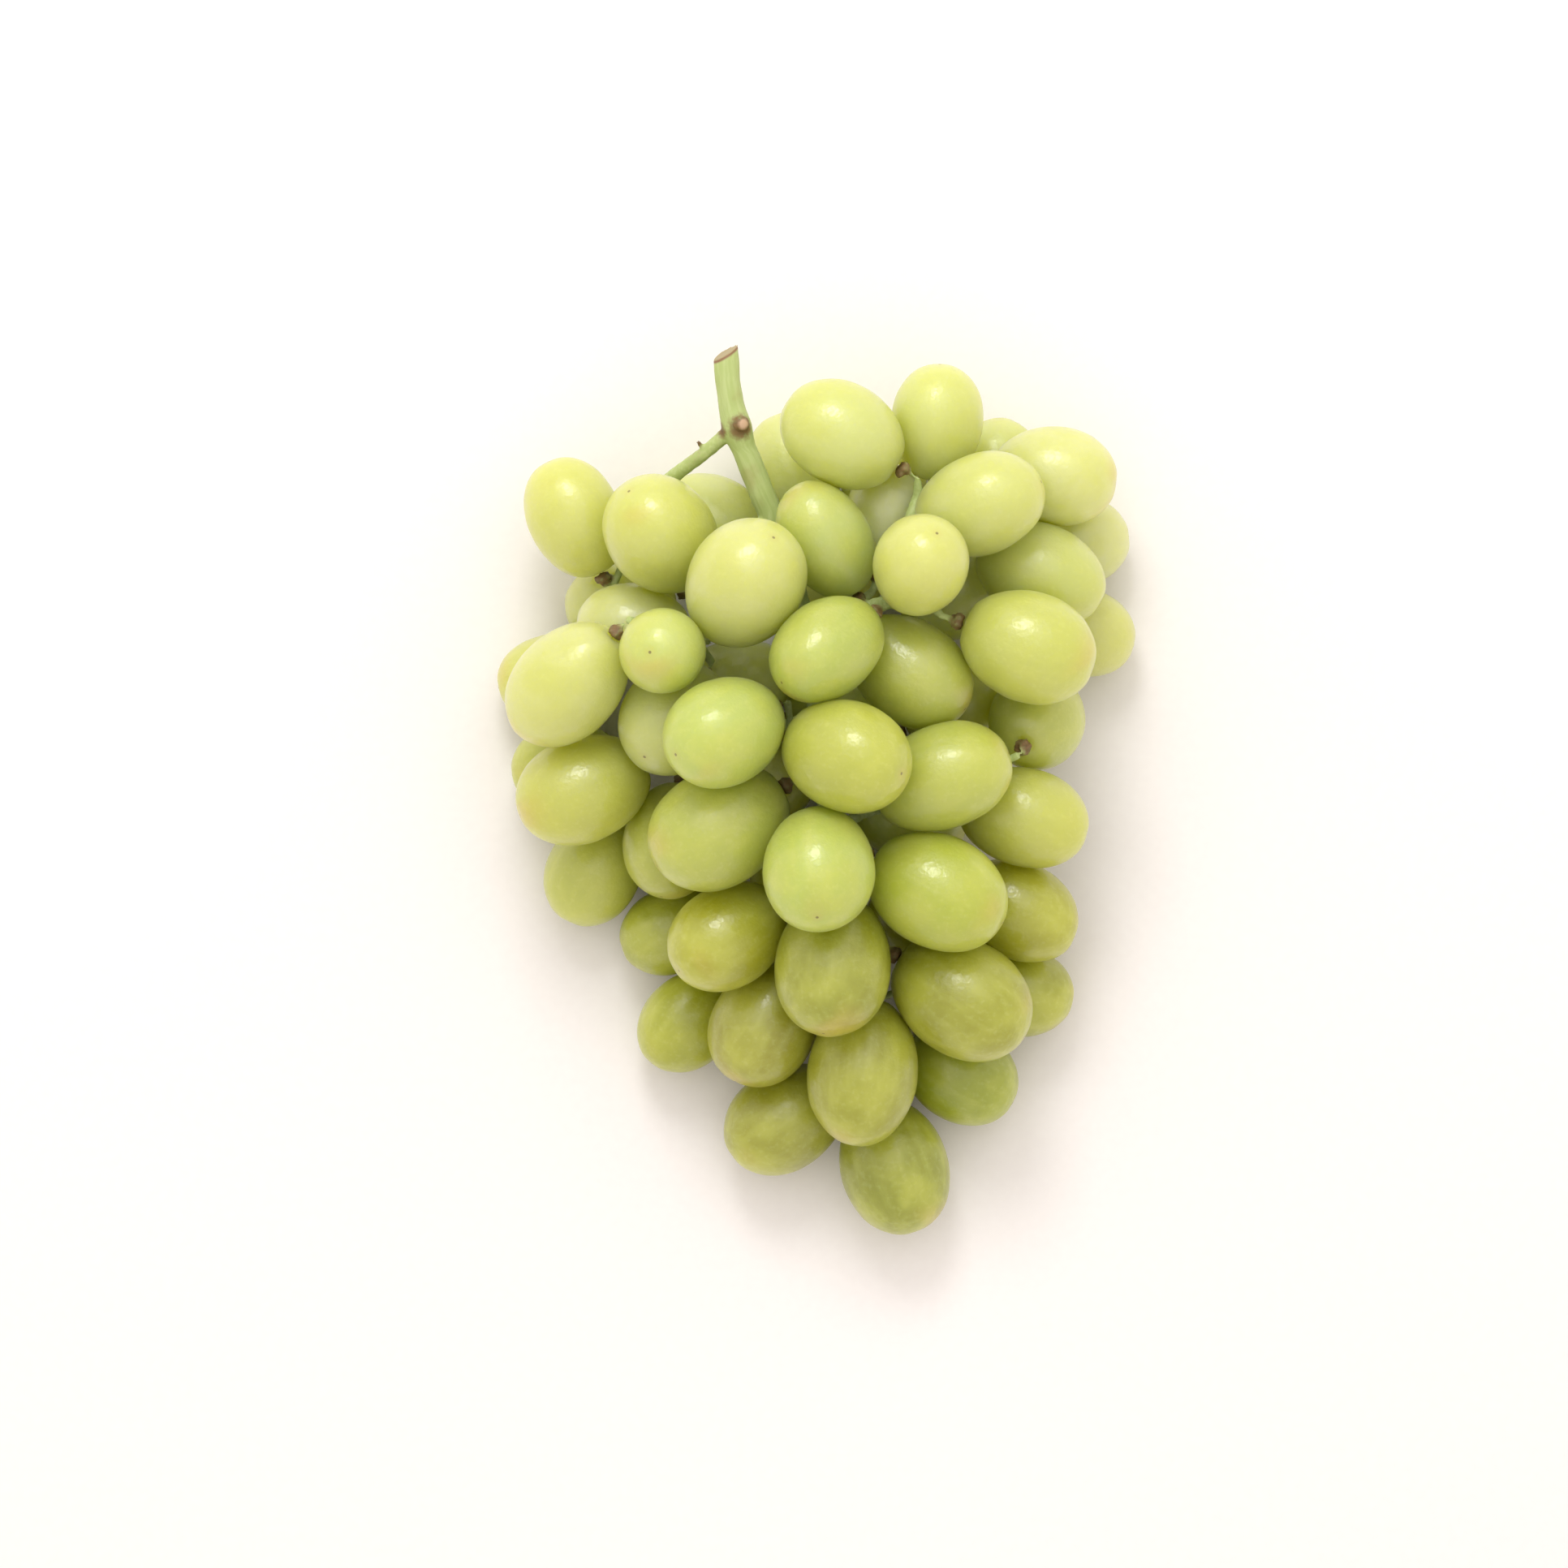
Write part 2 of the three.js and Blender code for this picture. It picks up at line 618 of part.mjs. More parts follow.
const axisLine = addLine(MAIN_AXIS.map(placed));
const knotPlace = placed(WING[0]);
const knot = axisLine.reduce((best, vertex) =>
  vertex.place.distanceTo(knotPlace) < best.place.distanceTo(knotPlace) ? vertex : best,
);
knot.forks = true;
const wingLine = addLine(WING.map(placed), knot);
const posts = [...axisLine, ...wingLine].map(({ place }) => ({ place, radius: PEDUNCLE_RADIUS }));

settle(berries, posts);
const limbs = growBranches(berries, axisLine);
countLoads(limbs);
smoothStem(berries, STRAIGHTEN_ROUNDS);

const grapeSkin = new THREE.MeshStandardMaterial({ color: "#b7c65a", roughness: 0.35, metalness: 0 });
const stemBark = new THREE.MeshStandardMaterial({ color: "#9fae6a", roughness: 0.7, metalness: 0 });

const bunch = new THREE.Group();

function addPiece(name, solid, material) {
  const mesh = new THREE.Mesh(geometryOf(solid), material.clone());
  mesh.name = name;
  bunch.add(mesh);
}

for (const berry of berries) {
  const solid = berrySolid(berry);
  addPiece(berry.name, berry.lies ? pressedFlat(solid) : solid, grapeSkin);
}
addPiece("stem", clearOf(berries, withoutPockets(stemSolid(axisLine, wingLine, limbs))), stemBark);

// The origin is on the table, under the middle of the bunch.
const extent = new THREE.Box3().setFromObject(bunch, true);
const middle = extent.getCenter(new THREE.Vector3());
bunch.position.set(-middle.x, -middle.y, 0);

export default bunch;
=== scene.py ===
"""A bunch of green seedless table grapes, lying on its side on a pale table and seen from straight above.

The CAD model gives the place, direction and size of every berry, and the shape of the stem. Here each berry
becomes a smooth, slightly uneven fruit that presses flat against its neighbours, and the stem becomes a
green branch with rough brown collars. Lengths are in metres.
"""

import math

import bpy
import numpy as np
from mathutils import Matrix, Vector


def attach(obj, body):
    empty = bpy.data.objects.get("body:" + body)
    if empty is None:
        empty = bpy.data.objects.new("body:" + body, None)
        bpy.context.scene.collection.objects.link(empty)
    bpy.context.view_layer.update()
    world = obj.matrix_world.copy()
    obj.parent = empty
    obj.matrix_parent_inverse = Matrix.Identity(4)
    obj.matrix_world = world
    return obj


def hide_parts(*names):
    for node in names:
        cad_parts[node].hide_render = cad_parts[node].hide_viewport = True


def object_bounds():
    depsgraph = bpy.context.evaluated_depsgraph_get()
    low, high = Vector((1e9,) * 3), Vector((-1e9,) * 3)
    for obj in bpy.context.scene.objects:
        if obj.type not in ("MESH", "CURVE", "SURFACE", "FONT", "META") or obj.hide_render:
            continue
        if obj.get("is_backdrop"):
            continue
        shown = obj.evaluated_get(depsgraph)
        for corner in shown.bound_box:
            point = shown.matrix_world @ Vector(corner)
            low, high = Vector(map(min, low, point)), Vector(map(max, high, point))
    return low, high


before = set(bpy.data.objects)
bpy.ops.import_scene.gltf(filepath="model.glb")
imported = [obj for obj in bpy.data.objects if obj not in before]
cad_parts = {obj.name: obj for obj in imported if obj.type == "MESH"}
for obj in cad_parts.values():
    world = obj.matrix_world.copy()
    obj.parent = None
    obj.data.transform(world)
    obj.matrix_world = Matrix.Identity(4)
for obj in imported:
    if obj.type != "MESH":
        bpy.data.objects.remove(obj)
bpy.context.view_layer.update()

MM = 0.001
SEED = 7
SAME_PLACE = 0.001 * MM  # points nearer than this are one point
OFF_TABLE = 0.1 * MM  # points lower than this rest on the table
TINY = 1e-12  # keeps a root or a division from failing
WAVELENGTHS = (0.7, 1.4)  # of uneven waves, as shares of the size that is asked for

# ---- the shape of a berry -------------------------------------------------------------------

EGG = 0.05  # how much wider a berry is towards its free end, as in the CAD model
DIMPLE = 0.9 * MM  # how deep the stalk end is sunk, as in the CAD model
DIMPLE_WIDTH = 2.3 * MM
RIBS = 5  # folds of skin that run into the dimple
RIB_DEPTH = 0.12  # as a share of the dimple's depth
END_HOLLOW = 0.22 * MM  # how much the free end is flattened
END_HOLLOW_WIDTH = 1.5 * MM
FLOWER_SCAR = 0.1 * MM  # how far the dried scar of the flower stands up in that hollow
FLOWER_SCAR_WIDTH = 0.45 * MM
SWELL = 0.28 * MM  # a berry is this much fuller than its solid, so that neighbours touch
PRESS = 0.16 * MM  # how softly a berry flattens where it touches
LUMPS = 0.012  # broad unevenness of a berry, as a share of its size
LUMP_SIZE = 1.9  # the length of those waves, in radii
SMALL_LUMPS = 0.003
SMALL_LUMP_SIZE = 0.6
VEIN_SQUEEZE = 0.16  # the veins in the flesh run lengthwise, so their pattern is squeezed along the berry
CONTACT_REACH = 1.2 * MM  # berries nearer than this press on each other
BERRY_ROWS = 72  # from the stalk end to the free end
POLE_RING = 0.7  # how far the first ring is from its pole, in rows
BERRY_COLUMNS = 64
AXIS_BALLS = 9
BELT = 0.3  # the middle part of a berry where its radius is read, as a share of its half length
SIDEWAYS = (0.3, 0.2, 1.0)  # no berry points this way

# ---- how ripe, olive and waxy the berries are, with painted shade and painted light ---------

GREENER = (
    "middle_left_1",
    "middle_right_1",
    "upper_right_1",
    "lower_right_1",
    "upper_left_2",
    "tip_4",
    "tip_5",
)
YELLOWNESS = (0.2, 0.9)  # of every other berry
# The olive colour darkens the clusters towards the tip of the bunch: partly their own duller tone, partly
# painted shade where less lamp light reaches them.
DULL_AND_PAINTED_SHADE = {"tip": 0.75, "lower_left": 0.75, "lower_right": 0.6, "middle_left": 0.2, "middle_right": 0.15}
DULL_AND_PAINTED_SHADE_SPREAD = (0.5, 1.0)
# The pale, waxy colour is laid on most at the top of the bunch, nearest the lamps: partly the wax on the
# skin, partly painted light that makes the lit berries paler.
BLOOM_AND_PAINTED_LIGHT = {
    "left_shoulder": 0.65,
    "right_shoulder": 0.75,
    "upper_left": 0.55,
    "upper_right": 0.5,
    "middle_left": 0.22,
    "middle_right": 0.3,
}
BLOOM_AND_PAINTED_LIGHT_SPREAD = (0.6, 1.1)
# Berries that get none of the olive colour and its painted shade, and this much of the pale wax and its
# painted light.
BRIGHTER_BERRIES = {"lower_right_1": 0.26, "lower_right_2": 0.1, "middle_left_1": 0.3}

# ---- the stem -------------------------------------------------------------------------------

STEM_VOXEL = 0.34 * MM
STEM_ROUNDS = 8
SMOOTHING = (0.5, -0.52)  # drawn in, then pushed back out
COLLAR_GAP = 0.6 * MM  # from the end of a berry to the middle of its collar
COLLAR_REACH = 2.3 * MM  # how far the brown, warty bark reaches from there
WART_SIZE = 0.9 * MM
WART_HEIGHT = 0.16 * MM
BARK_LUMP_SIZE = 5 * MM
BARK_LUMPS = 0.05 * MM
RIDGE_SIZE = 1.8 * MM
RIDGES = 0.04 * MM  # the height of the ridges that run along the stalk
RIDGE_SQUEEZE = 0.1
CUT_FACES = (-0.5, 0.83, 0.25)  # the way the slanted cut at the top of the stalk faces
CUT_RIM = 0.9 * MM  # how far the colour of the cut runs down the stalk
CUT_WITHIN = 8 * MM  # the cut lies within this much of the top
KNOT_SCAR = (-14.3 * MM, 70.7 * MM, 32.4 * MM)  # where a shoot came off the knot
SCAR_WIDTH = 1.2 * MM
KNOT_WIDTH = 2.6 * MM
KNOT_SWELL = 0.5 * MM  # how much the bark is raised around that scar
# Where the bark has dried brown, how far that reaches and how brown it is: on the knot, where the side
# branch leaves it, along that branch, at a broken shoot on it, and low on the stalk.
DRY_SPOTS = (
    ((-14.5 * MM, 70.0 * MM, 32.0 * MM), 3.6 * MM, 0.75),
    ((-18.2 * MM, 69.6 * MM, 29.5 * MM), 2.4 * MM, 0.7),
    ((-24.5 * MM, 65.5 * MM, 27.0 * MM), 7.0 * MM, 0.42),
    ((-22.9 * MM, 67.5 * MM, 27.6 * MM), 1.3 * MM, 0.9),
    ((-12.4 * MM, 51.5 * MM, 27.2 * MM), 2.2 * MM, 0.8),
)
STALK_SEEN = 46 * MM  # how much of the main stalk shows above the berries
STALK_STEP = 1.0 * MM
STALK_REACH = 4.2 * MM

# ---- table, light and camera ----------------------------------------------------------------

TABLE_SIZE = 6.0
TABLE_DROP = 0.05 * MM  # the table lies this much lower than the flat undersides of the berries
LIGHTS = (  # name, place, width and power
    ("window", (-0.1, 0.62, 0.66), 0.32, 2.6),
    ("white_panel", (-0.02, 0.6, 1.0), 1.3, 2.6),
)
ROOM_COLOUR = "#fff6f1"
ROOM_LIGHT = 0.93
CAMERA_OVER = (-6.3 * MM, 1.4 * MM)  # the camera hangs straight over this place on the table
CAMERA_HEIGHT = 1.6
FRAME_WIDTH = 302 * MM  # what the camera sees across, at the middle of the bunch
SENSOR = 36.0  # the camera's own width, in millimetres

# ---- sockets and settings of nodes ----------------------------------------------------------

LOW, HIGH, LEAST, MOST = 1, 2, 3, 4  # of Map Range: the range that comes in, and the one that goes out
FACTOR, UNDER, OVER, MIXED = 0, 6, 7, 2  # of Mix, for colours
FIRST, TIMES, PLUS = 0, 1, 2  # of Math, for multiply add
SMOOTH = {"interpolation_type": "SMOOTHSTEP"}


# ---- meshes ---------------------------------------------------------------------------------


def cad_mesh(node):
    """Points and triangles of a CAD node, with its doubles merged."""
    mesh = node.data
    points = np.empty(len(mesh.vertices) * 3, np.float32)
    mesh.vertices.foreach_get("co", points)
    mesh.calc_loop_triangles()
    triangles = np.empty(len(mesh.loop_triangles) * 3, np.int32)
    mesh.loop_triangles.foreach_get("vertices", triangles)
    points = points.reshape(-1, 3).astype(float)
    keys = np.round(points / SAME_PLACE).astype(np.int64)
    _, first, index = np.unique(keys, axis=0, return_index=True, return_inverse=True)
    return points[first], index.reshape(-1)[triangles].reshape(-1, 3)


def new_piece(name, points, faces, material, values):
    """A smooth mesh object with one number per point in each named attribute."""
    mesh = bpy.data.meshes.new(name)
    mesh.from_pydata(points.tolist(), [], faces)
    for attribute, numbers in values.items():
        layer = mesh.attributes.new(attribute, "FLOAT", "POINT")
        layer.data.foreach_set("value", np.asarray(numbers, np.float32))
    mesh.polygons.foreach_set("use_smooth", np.ones(len(mesh.polygons), bool))
    mesh.update()
    piece = bpy.data.objects.new(name, mesh)
    bpy.context.scene.collection.objects.link(piece)
    mesh.materials.append(material)
    return piece


def add_places(piece, attribute, places):
    """Gives every point of a piece a second place, for patterns that don't follow its own."""
    layer = piece.data.attributes.new(attribute, "FLOAT_VECTOR", "POINT")
    layer.data.foreach_set("vector", places.astype(np.float32).ravel())


def waves(points, size, generator, count):
    """A smooth uneven number of about -1 to 1 at every point: the sum of sine waves that run in random
    directions, with wavelengths around size, over the root of their count."""
    heading = generator.normal(size=(count, 3))
    heading /= np.linalg.norm(heading, axis=1, keepdims=True)
    pitch = 2 * math.pi / (size * generator.uniform(*WAVELENGTHS, count))
    start = generator.uniform(0, 2 * math.pi, count)
    return np.sin(points @ (heading * pitch[:, None]).T + start).sum(1) / math.sqrt(count)


# ---- berries --------------------------------------------------------------------------------


def read_berry(name):
    """Middle, axis, half length and radius of a berry. Its two poles are the points above the table where
    most triangles meet, and the stalk end is the one that is sunk below the ring around it."""
    points, triangles = cad_mesh(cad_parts[name])
    valence = np.bincount(triangles.ravel(), minlength=len(points)) * (points[:, 2] > OFF_TABLE)
    poles = np.argsort(-valence, kind="stable")[:2]
    around_first = triangles[(triangles == poles[0]).any(axis=1)]
    ring = points[around_first[around_first != poles[0]]].mean(axis=0)
    outward = points[poles[0]] - points[poles[1]]
    sunk = (ring - points[poles[0]]) @ outward > 0
    stalk_end, free_end = points[poles if sunk else poles[::-1]]
    axis = free_end - stalk_end
    length = np.linalg.norm(axis)
    axis /= length
    half = (length + DIMPLE) / 2
    middle = free_end - axis * half
    along = (points - middle) @ axis
    around = np.linalg.norm(points - middle - along[:, None] * axis, axis=1)
    belt = np.abs(along) < BELT * half
    share = along[belt] / half
    radius = (around[belt] / (np.sqrt(1 - share**2) * (1 + EGG * share))).max()
    return {"name": name, "middle": middle, "axis": axis, "half": half, "radius": radius}


def axis_balls(berry):
    """The largest balls inside a berry along its axis: places and radii."""
    half, radius = berry["half"], berry["radius"]
    focal = max(half**2 - radius**2, TINY)
    along = np.linspace(-1, 1, AXIS_BALLS) * focal / half
    radii = radius * np.sqrt(1 - along**2 / focal) * (1 + EGG * along / half)
    return berry["middle"] + along[:, None] * berry["axis"], radii


def contact_planes(berry, berries):
    """Where neighbours press on a berry: for each, the plane halfway between the two skins, as a point and
    the direction towards the neighbour."""
    places, radii = axis_balls(berry)
    planes = []
    for other in berries:
        if other is berry:
            continue
        apart = np.linalg.norm(other["middle"] - berry["middle"]) - berry["half"] - other["half"]
        if apart > CONTACT_REACH:
            continue
        other_places, other_radii = axis_balls(other)
        between = other_places[None] - places[:, None]
        distance = np.linalg.norm(between, axis=2)
        gap = distance - radii[:, None] - other_radii[None]
        i, j = np.unravel_index(gap.argmin(), gap.shape)
        if gap[i, j] > CONTACT_REACH:
            continue
        normal = between[i, j] / distance[i, j]
        planes.append((places[i] + normal * (radii[i] + gap[i, j] / 2), normal))
    return planes


def pressed(points, place, normal):
    """Points kept behind a plane. A point's height over the plane, h, becomes -w ln(1 + e^(-h / w)), where w
    is PRESS: that is h far behind the plane, and nearly 0 in front of it."""
    height = (points - place) @ normal
    softened = -PRESS * np.logaddexp(0, -height / PRESS)
    return points + (softened - height)[:, None] * normal


def berry_faces(rows, columns):
    """Faces of a grid of rings between two poles, which are the last two points."""
    ring = np.arange(columns)
    after = (ring + 1) % columns
    base = np.arange(rows - 1)[:, None] * columns
    quads = np.stack([base + ring, base + after, base + columns + after, base + columns + ring], axis=2)
    stalk = np.full(columns, rows * columns)
    last = (rows - 1) * columns
    stalk_cap = np.stack([stalk, after, ring], axis=1)
    free_cap = np.stack([stalk + 1, last + ring, last + after], axis=1)
    return quads.reshape(-1, 4).tolist() + stalk_cap.tolist() + free_cap.tolist()


def berry_surface(berry, planes, generator):
    """Points of a berry, ring by ring, then its two poles, with the share of its length at each point, how
    far it is from the middle of the free end in millimetres (a whole radius on the stalk half), and the
    place where its veins are read. The angle t runs from the stalk end to the free end, and p around:
    along = -half cos t, width = radius sin t (1 - EGG cos t), with a ribbed dimple at the stalk end, a
    flower scar in a shallow hollow at the free end, and about 1% of unevenness. The veins' place is a point
    of the plain berry, squeezed along the axis."""
    half, radius = berry["half"] + SWELL, berry["radius"] + SWELL
    t = (np.arange(BERRY_ROWS) + POLE_RING) / (BERRY_ROWS - 1 + 2 * POLE_RING) * math.pi
    t = np.concatenate([np.repeat(t, BERRY_COLUMNS), [0, math.pi]])
    p = np.arange(BERRY_COLUMNS) * 2 * math.pi / BERRY_COLUMNS
    p = np.concatenate([np.tile(p, BERRY_ROWS), [0, 0]])
    along = -half * np.cos(t)
    width = radius * np.sin(t) * (1 - EGG * np.cos(t))
    near_stalk = np.exp(-((width / DIMPLE_WIDTH) ** 2)) * (t < math.pi / 2)
    near_free = (t > math.pi / 2).astype(float)
    ribs = 1 + RIB_DEPTH * np.cos(RIBS * p + generator.uniform(0, 6))
    along += DIMPLE * near_stalk * ribs
    along -= END_HOLLOW * near_free * np.exp(-((width / END_HOLLOW_WIDTH) ** 2))
    along += FLOWER_SCAR * near_free * np.exp(-((width / FLOWER_SCAR_WIDTH) ** 2))
    side = np.cross(berry["axis"], SIDEWAYS)
    side /= np.linalg.norm(side)
    other = np.cross(berry["axis"], side)
    points = along[:, None] * berry["axis"]
    points = points + (width * np.cos(p))[:, None] * side + (width * np.sin(p))[:, None] * other
    uneven = 1 + LUMPS * waves(points, LUMP_SIZE * radius, generator, count=7)
    uneven += SMALL_LUMPS * waves(points, SMALL_LUMP_SIZE * radius, generator, count=9)
    points = berry["middle"] + points * uneven[:, None]
    for place, normal in planes:
        points = pressed(points, place, normal)
    points[:, 2] = PRESS * np.logaddexp(0, points[:, 2] / PRESS)
    share = (along + half) / (2 * half)
    from_end = np.where(near_free > 0, width, radius) / MM
    across = radius * np.sin(t)
    veins = np.stack([across * np.cos(p), across * np.sin(p), VEIN_SQUEEZE * along], axis=1)
    return points, share, from_end, veins


# ---- stem -----------------------------------------------------------------------------------


def remeshed(points, triangles, voxel):
    """Points and faces of a closed surface, rebuilt as an even net of quads that rounds its joints."""
    mesh = bpy.data.meshes.new("stem_draft")
    mesh.from_pydata(points.tolist(), [], triangles.tolist())
    draft = bpy.data.objects.new("stem_draft", mesh)
    bpy.context.scene.collection.objects.link(draft)
    remesh = draft.modifiers.new("net", "REMESH")
    remesh.mode = "VOXEL"
    remesh.voxel_size = voxel
    graph = bpy.context.evaluated_depsgraph_get()
    done = bpy.data.meshes.new_from_object(draft.evaluated_get(graph))
    new_points = np.empty(len(done.vertices) * 3, np.float32)
    done.vertices.foreach_get("co", new_points)
    corners = np.empty(len(done.loops), np.int32)
    done.loops.foreach_get("vertex_index", corners)
    bpy.data.objects.remove(draft)
    bpy.data.meshes.remove(mesh)
    bpy.data.meshes.remove(done)
    return new_points.reshape(-1, 3).astype(float), corners.reshape(-1, 4)


def smoothed(points, quads, rounds):
    """Points drawn to the mean of their neighbours and pushed back a little more, in turn, so that steps go
    and thin branches stay thick (Taubin's method)."""
    start = quads.ravel()
    end = np.roll(quads, -1, axis=1).ravel()
    count = np.bincount(start, minlength=len(points)) + np.bincount(end, minlength=len(points))
    for share in SMOOTHING * rounds:
        total = np.empty_like(points)
        for k in range(3):
            total[:, k] = np.bincount(start, points[end, k], len(points))
            total[:, k] += np.bincount(end, points[start, k], len(points))
        points = points + share * (total / count[:, None] - points)
    return points


def normals_of(points, quads):
    """The outward direction at every point: the sum of its faces' crossed diagonals."""
    first, second, third, fourth = (points[quads[:, corner]] for corner in range(4))
    crossed = np.cross(third - first, fourth - second)
    total = np.zeros_like(points)
    for corner in range(4):
        for k in range(3):
            total[:, k] += np.bincount(quads[:, corner], crossed[:, k], len(points))
    return total / np.maximum(np.linalg.norm(total, axis=1, keepdims=True), TINY)


def dryness(points, spots):
    """How dry the bark is at every point: the driest that any spot makes it. A spot gives its most at its
    middle, and 1/e of that at its reach."""
    dry = np.zeros(len(points))
    for place, reach, most in spots:
        distance = np.linalg.norm(points - place, axis=1)
        dry = np.maximum(dry, most * np.exp(-((distance / reach) ** 2)))
    return dry


def main_stalk(points):
    """The middle line of the visible stalk, listed from below up to its cut end. It is found from the cut
    end down, as the mean of the points in each thin slice that are near the middle of the slice above."""
    levels = np.arange(points[:, 1].max(), points[:, 1].max() - STALK_SEEN, -STALK_STEP)
    middle = points[points[:, 1] > levels[0] - STALK_STEP].mean(axis=0)
    line = []
    for level in levels:
        near = np.hypot(points[:, 0] - middle[0], points[:, 2] - middle[2]) < STALK_REACH
        middle = points[near & (np.abs(points[:, 1] - level) < STALK_STEP)].mean(axis=0)
        line.append((middle[0], level, middle[2]))
    return np.array(line)[::-1]


def lengthwise(points):
    """A place for patterns that run along the stalk: sideways from its middle line, and squeezed along it.
    Points on the other branches keep their own place."""
    line = main_stalk(points)
    centre = np.stack([np.interp(points[:, 1], line[:, 1], line[:, k]) for k in (0, 2)], axis=1)
    sideways = points[:, [0, 2]] - centre
    on_stalk = (np.hypot(*sideways.T) < STALK_REACH) & (points[:, 1] > line[0, 1])
    squeezed = np.stack([sideways[:, 0], RIDGE_SQUEEZE * points[:, 1], sideways[:, 1]], axis=1)
    return np.where(on_stalk[:, None], squeezed, points)


def make_stem(berries, material):
    """The CAD stem with rounded joints, warts on its collars, ridges along its stalk and a raised scar on
    its knot, and numbers that say where it is brown, cut and scarred."""
    generator = np.random.default_rng(SEED)
    points, quads = remeshed(*cad_mesh(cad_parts["stem"]), STEM_VOXEL)
    points = smoothed(points, quads, STEM_ROUNDS)
    pattern = lengthwise(points)
    normals = normals_of(points, quads)
    stalk_ends = [berry["middle"] - berry["axis"] * (berry["half"] + COLLAR_GAP) for berry in berries]
    collar = dryness(points, [(place, COLLAR_REACH, 1) for place in stalk_ends])
    brown = np.maximum(collar, dryness(points, DRY_SPOTS))
    scar = dryness(points, [(KNOT_SCAR, SCAR_WIDTH, 1)])
    above = (points - main_stalk(points)[-1]) @ (np.array(CUT_FACES) / np.linalg.norm(CUT_FACES))
    near_top = points[:, 1] > points[:, 1].max() - CUT_WITHIN
    cut = np.clip(1 - (above.max() - above) / CUT_RIM, 0, 1) * near_top
    raised = WART_HEIGHT * collar * waves(points, WART_SIZE, generator, count=12)
    raised += KNOT_SWELL * dryness(points, [(KNOT_SCAR, KNOT_WIDTH, 1)])
    raised += BARK_LUMPS * waves(points, BARK_LUMP_SIZE, generator, count=8)
    raised += RIDGES * waves(pattern, RIDGE_SIZE, generator, count=10)
    points = points + normals * raised[:, None]
    values = {"brown": brown, "cut": cut, "scar": scar}
    stem = new_piece("stem_bark", points, quads.tolist(), material, values)
    add_places(stem, "lengthwise", pattern)
    return stem


# ---- materials ------------------------------------------------------------------------------


def linear(code):
    """A colour from its sRGB hex code."""
    values = [int(code[i : i + 2], 16) / 255 for i in (1, 3, 5)]
    return (*[v / 12.92 if v <= 0.04045 else ((v + 0.055) / 1.055) ** 2.4 for v in values], 1.0)


def add(tree, kind, inputs=None, out=0, **settings):
    """Adds a node and returns one of its outputs. Each input is a number, a colour code, or the output that
    feeds it, by the name or number of its socket."""
    node = tree.nodes.new("ShaderNode" + kind)
    for name, value in settings.items():
        setattr(node, name, value)
    for name, value in (inputs or {}).items():
        if isinstance(value, bpy.types.NodeSocket):
            tree.links.new(value, node.inputs[name])
        else:
            node.inputs[name].default_value = linear(value) if isinstance(value, str) else value
    return node.outputs[out] if node.outputs else node


def start_material(name):
    """An empty node material, its tree, and the place of a point on the piece."""
    material = bpy.data.materials.new(name)
    material.use_nodes = True
    tree = material.node_tree
    tree.nodes.clear()
    return material, tree, add(tree, "TexCoord", out="Object")


def layered(tree, colour, layers):
    """A colour with others laid over it in turn, each where its mask is high."""
    for mask, over in layers:
        colour = add(tree, "Mix", {FACTOR: mask, UNDER: colour, OVER: over}, out=MIXED, data_type="RGBA")
    return colour


